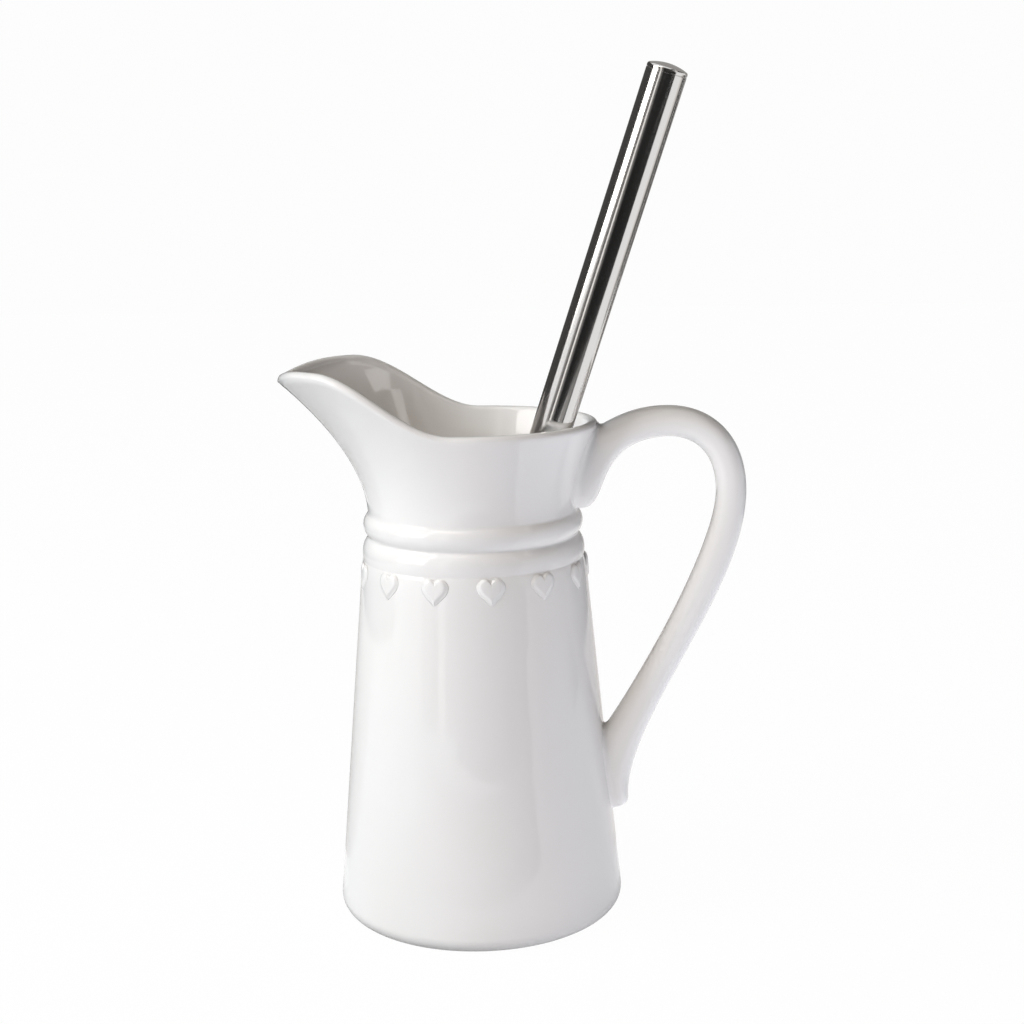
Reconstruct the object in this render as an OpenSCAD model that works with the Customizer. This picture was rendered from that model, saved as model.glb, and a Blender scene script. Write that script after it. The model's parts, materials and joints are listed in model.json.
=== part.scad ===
// Brush set in the form of a country jug: a glazed jug with a spout, a luted loop
// handle and a row of raised hearts, and a loose brush that leans on the rim.
// Origin at the centre of the foot, +Z up, handle towards +X, spout towards -X.
// All sizes are in millimetres and degrees.

/* [Jug body] */
// Radius of the cone just above the foot's rounding
base_r = 68; // [62:0.5:76]
// Rounding of the foot's edge
foot_round = 7; // [3:0.5:10]
// Height of the crease where the cone ends under the lower bead
shoulder_z = 170.9; // [160:0.1:185]
// Radius of the cone at that crease
shoulder_r = 52.6; // [50:0.2:57]
// Wall of the body, the neck and the lip
wall = 5; // [4:0.25:6]
// Thickness of the floor
floor_t = 7; // [4:0.5:10]
// Rounding between the floor and the wall, inside
floor_round = 8; // [4:0.5:12]

/* [Beads and neck] */
// Radius of the neck at its narrowest
neck_r = 49.2; // [47:0.2:52]
// Height of the beaded band, from the crease to the narrowest neck
band_h = 22.3; // [18:0.1:26]
// Projection of the lower bead beyond the neck
lower_bead = 3; // [1.5:0.1:4]
// Projection of the upper bead beyond the neck
upper_bead = 2.1; // [1:0.1:3.5]
// Projection of the groove between the beads
groove_proud = 0.3; // [0:0.1:1]
// Depth of the crease under the lower bead
crease = 0.8; // [0.3:0.1:1.5]

/* [Mouth and spout] */
// Height of the rim above the narrowest neck
rim_rise = 42.1; // [36:0.1:50]
// Half width of the mouth, across the spout
mouth_half_w = 56; // [52:0.5:60]
// Reach of the rim towards the handle
rim_reach = 59; // [55:0.5:63]
// Reach of the spout from the jug's axis
spout_reach = 90.5; // [80:0.5:100]
// Rise of the spout's lip above the rim
spout_rise = 26.5; // [18:0.5:34]
// Droop of the spout's tip from its highest lip
tip_droop = 4; // [1:0.5:8]
// Extra height of the lip's round at the spout's tip
tip_swell = 1.1; // [0:0.1:2]

/* [Handle] */
// Reach of the handle's outer edge from the jug's axis
handle_reach = 127.4; // [118:0.1:136]
// Height of the handle's top above the rim
handle_over = 6.3; // [2:0.1:12]
// Drop from the rim to the handle's widest point
handle_drop = 33.2; // [28:0.1:42]
// Distance from the jug's axis to the top of the loop
loop_top_x = 91; // [84:0.5:98]
// Thickness of the handle in the plane of the loop
handle_t = 14; // [12:0.2:18]
// Width of the handle across the loop
handle_w = 18; // [14:0.5:22]
// Width of the handle where it joins the neck
root_w = 25; // [20:0.5:30]
// Height of the tail's lower end
tail_z = 46; // [36:0.5:52]
// Projection of the tail from the cone
tail_proud = 8.2; // [6:0.1:11]

/* [Hearts] */
// Number of hearts round the jug
hearts = 13; // [9:1:15]
// Width of a heart
heart_w = 12.4; // [9:0.2:14]
// Height of a heart
heart_h = 11.6; // [9:0.2:14]
// Relief of a heart
heart_relief = 1.7; // [1:0.1:2.5]
// Gap from the crease to the hearts
heart_drop = 0.4; // [0.3:0.1:4]
// Angle of the first heart from the handle
heart_turn = 8; // [0:1:27]

/* [Brush] */
// Outer radius of the tube
tube_r = 9; // [8:0.1:10]
// Wall of the tube
tube_wall = 0.8; // [0.6:0.1:1.5]
// Length of the tube
tube_len = 314; // [280:1:340]
// Height of the domed cap
cap_h = 3.6; // [2:0.1:6]
// Length of the cap's spigot in the tube
cap_spigot = 12; // [8:0.5:20]
// Length of the plug's spigot in the tube
plug_spigot = 20; // [14:0.5:30]
// Thickness of the plug's collar
collar_t = 3; // [2:0.5:5]
// Radius of the threaded stud
stud_r = 4; // [3:0.5:5]
// Length of stud in the plug, and again in the core
stud_hold = 12; // [8:0.5:16]

/* [Brush head] */
// Radius of the head over the bristles
head_r = 33; // [30:0.5:34]
// Straight length of the head above its round end
head_straight = 32; // [26:0.5:36]
// Radius of the core that carries the bristles
core_r = 13; // [11:0.5:15]
// Thickness of the slice of core that the bristles stand on
slice_t = 1.4; // [1:0.1:2]
// Radius of the splash disc above the bristles
disc_r = 22; // [18:0.5:26]
// Thickness of the splash disc
disc_t = 3; // [2:0.5:5]
// Gap from the disc to the bristles
disc_gap = 1.5; // [1:0.1:3]
// Height of the core's socket above the disc
socket_h = 15; // [13:0.5:20]
// Rows of bristles, from the round end upwards
bristle_rows = 15; // [12:1:16]
// Bristles in each row
bristle_cols = 24; // [20:2:26]

/* [How the brush stands] */
// Direction in which the brush's foot lies
foot_turn = 184; // [170:1:190]
// Place on the rim where the tube leans
rest_turn = -28; // [-40:1:-15]
// Clearance between pieces that rest on each other
seat_gap = 0.4; // [0.2:0.05:0.6]

/* [Hidden] */

glaze = "white";
steel = "silver";
nylon = "whitesmoke";

// Slip between the handle or a heart and the body
slip_gap = 0.1;
// Clearance of the stud's thread in the core
thread_gap = 0.06;
// Overlap of the lofted neck in the turned body's wall
skirt_h = 4;
skirt_in = 1.5;
// Amount by which the loft covers the turned body's edge
cover = 0.1;

neck_z = shoulder_z + band_h;
rim_z = neck_z + rim_rise;
lip_h = wall / 2;
cone_slope = (base_r - shoulder_r) / (shoulder_z - foot_round);
cone_angle = atan(cone_slope);

// Radius of the cone's outside at a height
function cone_r(z) = base_r - cone_slope * (z - foot_round);
function mix(a, b, t) = a + (b - a) * t;
function clamp(v) = min(1, max(0, v));
function smooth(t) = t * t * (3 - 2 * t);
function bezier(p, t) =
    p[0] * pow(1 - t, 3) + 3 * p[1] * pow(1 - t, 2) * t + 3 * p[2] * (1 - t) * t * t + p[3] * pow(t, 3);
function arc(centre, r, from, to, steps) =
    [for (i = [0:steps]) let (a = mix(from, to, i / steps)) centre + r * [cos(a), sin(a)]];
// Half a wave from one crest or groove to the next, without its first point
function wave(a, b, steps = 6) =
    [for (i = [1:steps]) [mix(a[0], b[0], (1 - cos(180 * i / steps)) / 2), mix(a[1], b[1], i / steps)]];

// Faces of a closed tube or ring of points: rows of equal length, the first and
// last row joined to each other or capped
function skin_faces(rows, cols, ring = false) = concat(
    [for (j = [0:rows - (ring ? 1 : 2)], i = [0:cols - 1], k = [0, 1])
        let (a = j * cols + i, b = j * cols + (i + 1) % cols,
             c = ((j + 1) % rows) * cols + i, d = ((j + 1) % rows) * cols + (i + 1) % cols)
        k == 0 ? [a, c, b] : [b, c, d]],
    ring ? [] : [[for (i = [0:cols - 1]) i], [for (i = [cols - 1:-1:0]) (rows - 1) * cols + i]]);

// Turned body: foot, cone, crease, two beads and the narrowest neck

bead_low = [neck_r + lower_bead, shoulder_z + band_h * 0.2];
bead_groove = [neck_r + groove_proud, shoulder_z + band_h * 0.5];
bead_high = [neck_r + upper_bead, shoulder_z + band_h * 0.78];
crease_at = [shoulder_r - crease, shoulder_z + crease / 2];

function outer_profile(grow) = concat(
    arc([base_r - foot_round, foot_round], foot_round + grow, -90, cone_angle, 12),
    [[shoulder_r + grow, shoulder_z]],
    [for (p = concat([crease_at], wave(crease_at, bead_low), wave(bead_low, bead_groove),
                     wave(bead_groove, bead_high), wave(bead_high, [neck_r, neck_z])))
        p + [grow, 0]]);

inner_profile = concat(
    [[neck_r - wall, neck_z], [neck_r - wall, shoulder_z + band_h * 0.3],
     [shoulder_r - wall, shoulder_z - band_h * 0.3]],
    arc([cone_r(floor_t + floor_round) - wall - floor_round, floor_t + floor_round],
        floor_round, cone_angle, -90, 8));

module turned_body() {
    rotate_extrude($fn = 96)
        polygon(concat([[0, floor_t], [0, 0]], outer_profile(0), inner_profile));
}

// Lofted neck, lip and spout

loft_cols = 64;
loft_rows = 9;
lip_rows = 5;
// The spout's plan: how full its sides are and how pointed its tip is
spout_full = 3.4;
spout_point = 0.62;
// Start and length of the lip's climb to the spout
climb_start = 3;
climb_run = 60;
// Shape of the flare: how long the neck stays upright and where it turns out
flare_hold = 0.26;
flare_out = 0.3;
flare_up = 0.61;

function lip_plan(a, inset) =
    cos(a) >= 0
        ? [(rim_reach - inset) * cos(a), (mouth_half_w - inset) * sin(a)]
        : [(spout_reach - inset) * cos(a),
           (mouth_half_w - inset) * sign(sin(a)) * pow(1 - pow(-cos(a), spout_full), spout_point)];
// Share of the way from the end of the climb to the tip
function past_climb(x) = clamp((-x - climb_start - climb_run) / (spout_reach - climb_start - climb_run));
function lip_z(x) =
    rim_z + spout_rise * smooth(clamp((-x - climb_start) / climb_run))
    - tip_droop * pow(past_climb(x), 2);
// Half the height of the lip's round, which swells towards the tip
function lip_half(x) = lip_h + tip_swell * smooth(past_climb(x));

// Point on the flare, from the neck at t = 0 to the lip's edge at t = 1
function flare(a, inset, t) =
    let (low = (neck_r - inset) * [cos(a), sin(a)],
         lip = lip_plan(a, inset),
         along = lip_plan(a, 0)[0],
         rise = lip_z(along) - lip_half(along) - neck_z,
         out = lip - low,
         p = bezier([0, 0, flare_out, 1], t),
         q = bezier([0, flare_hold, flare_up, 1], t))
    [low[0] + out[0] * p, low[1] + out[1] * p, neck_z + rise * q];
function lip_ring(a, turn) =
    let (o = flare(a, 0, 1), i = flare(a, wall, 1), m = (o + i) / 2)
    m + (o - m) * cos(turn) + [0, 0, lip_half(lip_plan(a, 0)[0]) * sin(turn)];
function ring_at(r, z) = [for (c = [0:loft_cols - 1]) let (a = 360 * c / loft_cols) [r * cos(a), r * sin(a), z]];
function flare_rows(inset, first, last) =
    [for (j = [first:sign(last - first):last], c = [0:loft_cols - 1])
        flare(360 * c / loft_cols, inset, j / loft_rows)];

module lofted_neck() {
    points = concat(
        ring_at(neck_r - skirt_in, neck_z - skirt_h),
        ring_at(neck_r + cover, neck_z),
        flare_rows(0, 1, loft_rows),
        [for (k = [1:lip_rows], c = [0:loft_cols - 1]) lip_ring(360 * c / loft_cols, 180 * k / (lip_rows + 1))],
        flare_rows(wall, loft_rows, 1),
        ring_at(neck_r - wall - cover, neck_z),
        ring_at(neck_r - wall + skirt_in, neck_z - skirt_h));
    polyhedron(points, skin_faces(len(points) / loft_cols, loft_cols, ring = true), convexity = 8);
}

module jug_body() {
    color(glaze) union() {
        turned_body();
        lofted_neck();
    }
}

// The jug's outside as two filled forms, grown by the slip that joins a piece to them
module turned_form(grow) {
    rotate_extrude($fn = 96)
        polygon(concat([[0, neck_z], [0, -grow]], outer_profile(grow)));
}

module neck_form(grow) {
    points = concat(
        ring_at(neck_r - skirt_in, neck_z - skirt_h),
        ring_at(neck_r + cover + grow, neck_z),
        flare_rows(-grow, 1, loft_rows),
        [for (c = [0:loft_cols - 1]) flare(360 * c / loft_cols, wall / 2, 1) + [0, 0, lip_h + grow]]);
    rows = len(points) / loft_cols;
    apex = len(points);
    faces = concat(
        [for (f = skin_faces(rows, loft_cols)) if (len(f) == 3) f],
        [[for (i = [0:loft_cols - 1]) i]],
        [for (i = [0:loft_cols - 1])
            [(rows - 1) * loft_cols + (i + 1) % loft_cols, (rows - 1) * loft_cols + i, apex]]);
    polyhedron(concat(points, [[0, 0, rim_z]]), faces, convexity = 6);
}

// Loop handle: each section runs from an inner line to an outer line

handle_cols = 18;
root_steps = 12;
bend_steps = 9;
fall_steps = 16;
tail_steps = 4;
section_full = 2.4;
// Length of the tail's rounded end, and how blunt it is
tail_round = 9;
tail_blunt = 0.6;
// Angle of that rounding at which the tail is closed, inside the wall
tail_end = 88;
// Height of the loop's corner on the cone above the tail's lower end
corner_up = 37;
// Depth in the wall at which the handle's lines end
bite = wall / 2;
// Offsets of the control points of the handle's lines from the points where they start or end
root_top_from = [14.5, 14.6];
root_top_to = [17, 0];
root_under_from = [20.8, -6.1];
root_under_to = [38.7, 2.6];
bend_from = 18.3;
bend_to = 20;
fall_out_from = 48.4;
fall_out_to = [-1.5, 39.3];
fall_in_from = 29.3;
fall_in_to = [10.5, 13.4];
// Depth of the upper line's start under the loop's top, and rise of the lower line's start over the neck
root_deep = 20.9;
root_over = 1.4;

loop_top = [loop_top_x, rim_z + handle_over];
loop_side = [handle_reach, rim_z - handle_drop];
across_top = [0, handle_t];
across_side = [handle_t, 0];
tail_top = [cone_r(tail_z + tail_round) + tail_proud, tail_z + tail_round];
function in_wall(z) = [cone_r(z) - bite, z];
root_high = [neck_r - bite, loop_top[1] - root_deep];
root_low = [neck_r - bite, neck_z + root_over];
corner = in_wall(tail_z + corner_up);
root_top = [root_high, root_high + root_top_from, loop_top - root_top_to, loop_top];
root_under = [root_low, root_low + root_under_from, loop_top - across_top - root_under_to, loop_top - across_top];
bend = [loop_top - across_top / 2, loop_top - across_top / 2 + [bend_from, 0],
        loop_side - across_side / 2 + [0, bend_to], loop_side - across_side / 2];
fall_out = [loop_side, loop_side - [0, fall_out_from], tail_top + fall_out_to, tail_top];
fall_in = [loop_side - across_side, loop_side - across_side - [0, fall_in_from], corner + fall_in_to, corner];

function unit(v) = v / norm(v);
// Inner and outer point of a station on a centre line of constant thickness
function offset_pair(line, t) =
    let (step = 0.01,
         d = unit(bezier(line, min(1, t + step)) - bezier(line, max(0, t - step))),
         n = handle_t / 2 * [-d[1], d[0]],
         c = bezier(line, t))
    [c - n, c + n];
// A station: inner point, outer point and half width
stations = concat(
    [for (i = [0:root_steps - 1]) let (t = i / root_steps)
        [bezier(root_under, t), bezier(root_top, t), mix(handle_w, root_w, pow(1 - t, 3)) / 2]],
    [for (i = [0:bend_steps - 1]) concat(offset_pair(bend, i / bend_steps), [handle_w / 2])],
    [for (i = [0:fall_steps]) let (t = i / fall_steps)
        [bezier(fall_in, t), bezier(fall_out, t), handle_w / 2]],
    [for (i = [1:tail_steps])
        let (a = tail_end * i / tail_steps, size = pow(cos(a), tail_blunt),
             inner = in_wall(mix(corner[1], tail_z, i / tail_steps)))
        [inner, [mix(inner[0], tail_top[0], size), tail_top[1] - tail_round * sin(a)], handle_w / 2 * size]]);

module handle_sweep() {
    points = [for (s = stations, i = [0:handle_cols - 1])
        let (a = 360 * i / handle_cols,
             across = -sign(sin(a)) * pow(abs(sin(a)), 2 / section_full),
             along = sign(cos(a)) * pow(abs(cos(a)), 2 / section_full),
             p = (s[0] + s[1]) / 2 + (s[1] - s[0]) / 2 * along)
        [p[0], s[2] * across, p[1]]];
    polyhedron(points, skin_faces(len(stations), handle_cols), convexity = 8);
}

module jug_handle() {
    color(glaze) difference() {
        handle_sweep();
        turned_form(slip_gap);
        neck_form(slip_gap);
    }
}

// Hearts: pillows on the cone

heart_cols = 20;
heart_z = shoulder_z - heart_drop - heart_h / 2;
// Shares of the outline and of the relief, from the edge to the crown
pillow = [[1, 0.12], [0.86, 0.66], [0.5, 0.95]];
back = [[0.55, 0]];

function heart_line(a) = [
    heart_w / 2 * pow(sin(a), 3),
    heart_h / 28.9 * (13 * cos(a) - 5 * cos(2 * a) - 2 * cos(3 * a) - cos(4 * a) + 2.5)];
// Point of the cone's surface: sideways, upwards and outwards from the heart's centre
function on_cone(u, v, out) =
    let (z = heart_z + v, r = cone_r(z) + slip_gap + out, a = u / cone_r(heart_z) * 180 / PI)
    [r * cos(a), r * sin(a), z];

module heart() {
    front = [for (s = pillow, i = [0:heart_cols - 1])
        let (p = heart_line(360 * i / heart_cols) * s[0]) on_cone(p[0], p[1], heart_relief * s[1])];
    rear = [for (s = concat([[1, 0]], back), i = [0:heart_cols - 1])
        let (p = heart_line(360 * i / heart_cols) * s[0]) on_cone(p[0], p[1], 0)];
    rows = len(pillow) + len(back) + 1;
    stack = concat([on_cone(0, 0, heart_relief)],
        [for (j = [len(pillow) - 1:-1:0], i = [0:heart_cols - 1]) front[j * heart_cols + i]],
        rear, [on_cone(0, 0, 0)]);
    last = len(stack) - 1;
    faces = concat(
        [for (i = [0:heart_cols - 1]) [0, 1 + i, 1 + (i + 1) % heart_cols]],
        [for (f = skin_faces(rows, heart_cols)) if (len(f) == 3) [f[0] + 1, f[1] + 1, f[2] + 1]],
        [for (i = [0:heart_cols - 1])
            [last, last - heart_cols + (i + 1) % heart_cols, last - heart_cols + i]]);
    polyhedron(stack, faces, convexity = 4);
}

module heart_sprigs() {
    color(glaze)
        for (i = [0:hearts - 1])
            rotate([0, 0, heart_turn + 360 * i / hearts]) heart();
}

// Where the brush stands: its round end on the floor and against the wall, its
// tube on the inner edge of the rim, or on a narrower neck below it

head_z = floor_t + seat_gap + head_r;
foot_reach = cone_r(head_z) - wall - (head_r + seat_gap) / cos(cone_angle);
foot_at = [foot_reach * cos(foot_turn), foot_reach * sin(foot_turn), head_z];
rim_plan = lip_plan(rest_turn, wall);
rim_out = unit([cos(rest_turn) / (rim_reach - wall), sin(rest_turn) / (mouth_half_w - wall)]);
rim_rest_z = rim_z - lip_h;
// Extra clearance for the flare just under the rim
flare_ease = 0.2;
lean_guess = atan((norm(rim_plan - [foot_at[0], foot_at[1]]) - tube_r) / (rim_rest_z - head_z));
rest_plan = rim_plan - rim_out * (tube_r / cos(lean_guess) + seat_gap + flare_ease);
rim_lean = [rest_plan[0], rest_plan[1], rim_rest_z] - foot_at;
// Least clearance from the tube to the neck's inside below the rim
neck_gap = seat_gap / 2;
// Halvings with which the lean is found where the neck stands in its way
lean_steps = 12;

function lean_at(share) = [rim_lean[0] * share, rim_lean[1] * share, rim_lean[2]];
// Gap from the tube to the nearest point of the neck's inside
function neck_room(share) =
    let (way = unit(lean_at(share)))
    min([for (p = flare_rows(wall, 0, loft_rows)) norm(cross(p - foot_at, way))]) - tube_r;
function clear_share(low, high, steps) =
    steps == 0 ? low
    : let (half = (low + high) / 2)
      neck_room(half) >= neck_gap
          ? clear_share(half, high, steps - 1)
          : clear_share(low, half, steps - 1);
lean = neck_room(1) >= neck_gap ? rim_lean : lean_at(clear_share(0, 1, lean_steps));
lean_tilt = acos(lean[2] / norm(lean));
lean_turn = atan2(lean[1], lean[0]);

// Children stand on the brush's own axis, with the lowest point of the head at zero
module on_brush() {
    translate(foot_at) rotate([0, lean_tilt, lean_turn]) translate([0, 0, -head_r]) children();
}

// Brush, along its axis

// Step of the core's socket beyond the tube, and of its foot on the disc
socket_wall = 1.5;
socket_foot = [1, 2];
// Shares of the cap's height that its upright side and its rounded edge take
cap_side = 0.26;
cap_edge = 0.34;

head_top = head_r + head_straight;
disc_z = head_top + disc_gap;
socket_z = disc_z + disc_t + socket_h;
collar_z = socket_z + seat_gap / 2;
tube_z = collar_z + collar_t;
cap_z = tube_z + tube_len;
bore_r = tube_r - tube_wall;
socket_r = tube_r + socket_wall;

module brush_tube() {
    color(steel) on_brush() translate([0, 0, tube_z]) difference() {
        cylinder(h = tube_len, r = tube_r, $fn = 64);
        translate([0, 0, -1]) cylinder(h = tube_len + 2, r = bore_r, $fn = 64);
    }
}

// Domed cap with a rounded edge and a spigot in the tube
module tube_cap() {
    side = cap_h * cap_side;
    edge = cap_h * cap_edge;
    rise = cap_h - side;
    flat_r = tube_r - edge;
    // The dome is the sphere that touches the rounded edge
    dome_r = (flat_r * flat_r + rise * rise - edge * edge) / (2 * (rise - edge));
    turn = atan2(dome_r - rise, flat_r);
    dome = arc([0, cap_h - dome_r], dome_r, turn, 90, 8);
    color(steel) on_brush() translate([0, 0, cap_z]) rotate_extrude($fn = 64)
        polygon(concat(
            [[0, -cap_spigot], [bore_r, -cap_spigot], [bore_r, 0], [tube_r, 0]],
            arc([flat_r, side], edge, 0, turn, 5),
            [for (i = [1:len(dome) - 1]) dome[i]]));
}

module tube_plug() {
    color(nylon) on_brush() translate([0, 0, collar_z]) difference() {
        union() {
            cylinder(h = collar_t, r = tube_r, $fn = 64);
            cylinder(h = collar_t + plug_spigot, r = bore_r, $fn = 64);
        }
        translate([0, 0, -1]) cylinder(h = stud_hold + 1, r = stud_r, $fn = 48);
    }
}

module head_stud() {
    color(steel) on_brush() translate([0, 0, collar_z - stud_hold])
        cylinder(h = 2 * stud_hold, r = stud_r, $fn = 48);
}

module brush_core() {
    carrier_r = core_r - slice_t - slip_gap;
    color(nylon) on_brush() difference() {
        rotate_extrude($fn = 64)
            polygon(concat(
                arc([0, head_r], carrier_r, -90, 0, 12),
                [[carrier_r, disc_z], [disc_r, disc_z], [disc_r, disc_z + disc_t],
                 [core_r, disc_z + disc_t] + socket_foot, [socket_r, socket_z], [0, socket_z]]));
        translate([0, 0, socket_z - stud_hold])
            cylinder(h = stud_hold + 1, r = stud_r + thread_gap, $fn = 48);
    }
}

// Bristles: a thin sleeve over the core, whose cells each carry one strand

// Shares of a cell that a strand's root and tip take
strand_root = 0.5;
strand_tip = 0.3;
// Bare cap at the sleeve's round end
bare_angle = 14;

// Distance along the sleeve's profile, measured at the sleeve's outside
round_run = core_r * (90 - bare_angle) * PI / 180;
sleeve_run = round_run + head_straight;
// Point of the profile at a share of the run, and its outward direction
function profile_angle(t) = min(0, bare_angle - 90 + t * sleeve_run / core_r * 180 / PI);
function profile_up(t) = max(0, t * sleeve_run - round_run);
function sleeve_point(r, t, a) =
    let (e = profile_angle(t), q = r * cos(e))
    [q * cos(a), q * sin(a), head_r + r * sin(e) + profile_up(t)];
function grid(r) =
    [for (j = [0:bristle_rows], i = [0:bristle_cols - 1])
        sleeve_point(r, j / bristle_rows, 360 * i / bristle_cols)];
// Four corners of a strand, at a radius, in the cell of a row and a column
function strand(r, share, j, i) =
    [for (c = [[-1, -1], [1, -1], [1, 1], [-1, 1]])
        sleeve_point(r, (j + 0.5 + c[1] * share / 2) / bristle_rows, 360 * (i + 0.5 + c[0] * share / 2) / bristle_cols)];

module bristle_tufts() {
    shell = grid(core_r);
    lining = grid(core_r - slice_t);
    shell_pole = sleeve_point(core_r, -bare_angle * core_r * PI / 180 / sleeve_run, 0);
    lining_pole = shell_pole + [0, 0, slice_t];
    cells = [for (j = [0:bristle_rows - 1], i = [0:bristle_cols - 1]) [j, i]];
    strands = [for (c = cells) each concat(strand(core_r, strand_root, c[0], c[1]),
                                           strand(head_r, strand_tip * core_r / head_r, c[0], c[1]))];
    n = bristle_cols;
    lining_at = len(shell);
    strand_at = 2 * len(shell);
    pole_at = strand_at + len(strands);
    top = bristle_rows * n;
    cell_faces = [for (k = [0:len(cells) - 1])
        let (j = cells[k][0], i = cells[k][1], s = strand_at + 8 * k,
             w = [j * n + i, j * n + (i + 1) % n, (j + 1) * n + (i + 1) % n, (j + 1) * n + i])
        each concat(
            [for (m = [0:3]) each [[w[m], s + m, w[(m + 1) % 4]], [w[(m + 1) % 4], s + m, s + (m + 1) % 4]]],
            [for (m = [0:3]) each [[s + m, s + 4 + m, s + (m + 1) % 4],
                                   [s + (m + 1) % 4, s + 4 + m, s + 4 + (m + 1) % 4]]],
            [[s + 4, s + 6, s + 5], [s + 4, s + 7, s + 6]])];
    lining_faces = [for (j = [0:bristle_rows - 1], i = [0:n - 1])
        let (a = lining_at + j * n + i, b = lining_at + j * n + (i + 1) % n) each [[a, b, a + n], [b, b + n, a + n]]];
    end_faces = [for (i = [0:n - 1])
        let (k = (i + 1) % n)
        each [[i, k, pole_at], [lining_at + k, lining_at + i, pole_at + 1],
              [top + k, top + i, lining_at + top + i], [top + k, lining_at + top + i, lining_at + top + k]]];
    color(nylon) on_brush()
        polyhedron(concat(shell, lining, strands, [shell_pole, lining_pole]),
                   concat(cell_faces, lining_faces, end_faces), convexity = 10);
}

jug_body();
jug_handle();
heart_sprigs();
brush_tube();
tube_cap();
tube_plug();
head_stud();
brush_core();
bristle_tufts();
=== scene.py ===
"""A brush set in the form of a country jug.

Models the glazed jug with its luted handle and raised hearts, and the brush that stands in it:
steel tube, cap, plug, stud, core and bristles. Then sets a plain pale studio round them.
"""

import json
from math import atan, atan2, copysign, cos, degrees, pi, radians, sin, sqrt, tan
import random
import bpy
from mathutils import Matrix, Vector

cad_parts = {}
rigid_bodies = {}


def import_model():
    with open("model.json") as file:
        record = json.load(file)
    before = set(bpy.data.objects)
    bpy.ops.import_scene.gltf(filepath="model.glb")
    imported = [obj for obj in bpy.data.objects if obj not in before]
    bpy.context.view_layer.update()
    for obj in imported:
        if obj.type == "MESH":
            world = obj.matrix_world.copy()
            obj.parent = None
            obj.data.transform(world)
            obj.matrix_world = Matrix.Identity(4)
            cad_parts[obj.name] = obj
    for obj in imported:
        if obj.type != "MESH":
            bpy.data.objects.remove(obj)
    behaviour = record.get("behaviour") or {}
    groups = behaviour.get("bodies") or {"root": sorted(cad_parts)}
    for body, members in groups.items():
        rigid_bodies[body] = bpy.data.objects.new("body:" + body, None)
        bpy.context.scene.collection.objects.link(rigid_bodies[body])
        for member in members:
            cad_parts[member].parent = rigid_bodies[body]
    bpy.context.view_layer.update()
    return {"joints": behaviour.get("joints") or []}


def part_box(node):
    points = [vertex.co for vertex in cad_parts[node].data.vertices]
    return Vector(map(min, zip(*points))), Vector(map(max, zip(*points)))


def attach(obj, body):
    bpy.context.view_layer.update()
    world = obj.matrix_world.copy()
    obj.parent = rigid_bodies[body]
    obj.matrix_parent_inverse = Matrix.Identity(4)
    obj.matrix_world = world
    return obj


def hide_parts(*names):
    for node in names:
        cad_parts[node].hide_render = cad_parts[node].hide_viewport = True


bl_info = {
    "name": "Country Jug Brush Set",
    "version": (1, 0, 0),
    "blender": (4, 5, 0),
    "location": "View3D > Sidebar > Jug Set",
    "description": "Models a glazed jug and the brush that stands in it",
    "category": "Add Mesh",
}

import bmesh
import bpy
from bpy.props import FloatProperty, FloatVectorProperty, IntProperty, PointerProperty
from bpy.types import Operator, Panel, PropertyGroup
from mathutils import Matrix, Vector
from mathutils.bvhtree import BVHTree

for leftover in list(bpy.data.objects):
    bpy.data.objects.remove(leftover)
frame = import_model()

MM = 0.001
FULL_TURN = 2 * pi
UP = Vector((0, 0, 1))

JUG_LOW, JUG_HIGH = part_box("jug_body")
HANDLE_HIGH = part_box("jug_handle")[1]
UNSCREW = next(joint for joint in frame["joints"] if joint["name"] == "head_unscrew")
COLLAR_AT = Vector(UNSCREW["pos_m"])
BRUSH_AXIS = Vector(UNSCREW["axis"]).normalized()


# Settings that a user would change

def length(name, description, millimetres):
    """A length property, given in millimetres."""
    return FloatProperty(
        name=name, description=description, default=millimetres * MM, unit="LENGTH", precision=5)


def angle(name, description, value):
    """An angle property, given in degrees."""
    return FloatProperty(
        name=name, description=description, default=radians(value), unit="ROTATION")


def colour(name, description, *tint):
    """A colour property."""
    return FloatVectorProperty(
        name=name, description=description, default=tint, subtype="COLOR", size=3, min=0.0, max=1.0)


def amount(name, description, value):
    """A plain number."""
    return FloatProperty(name=name, description=description, default=value, precision=4)


def count(name, description, value):
    """A whole number."""
    return IntProperty(name=name, description=description, default=value)


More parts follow.
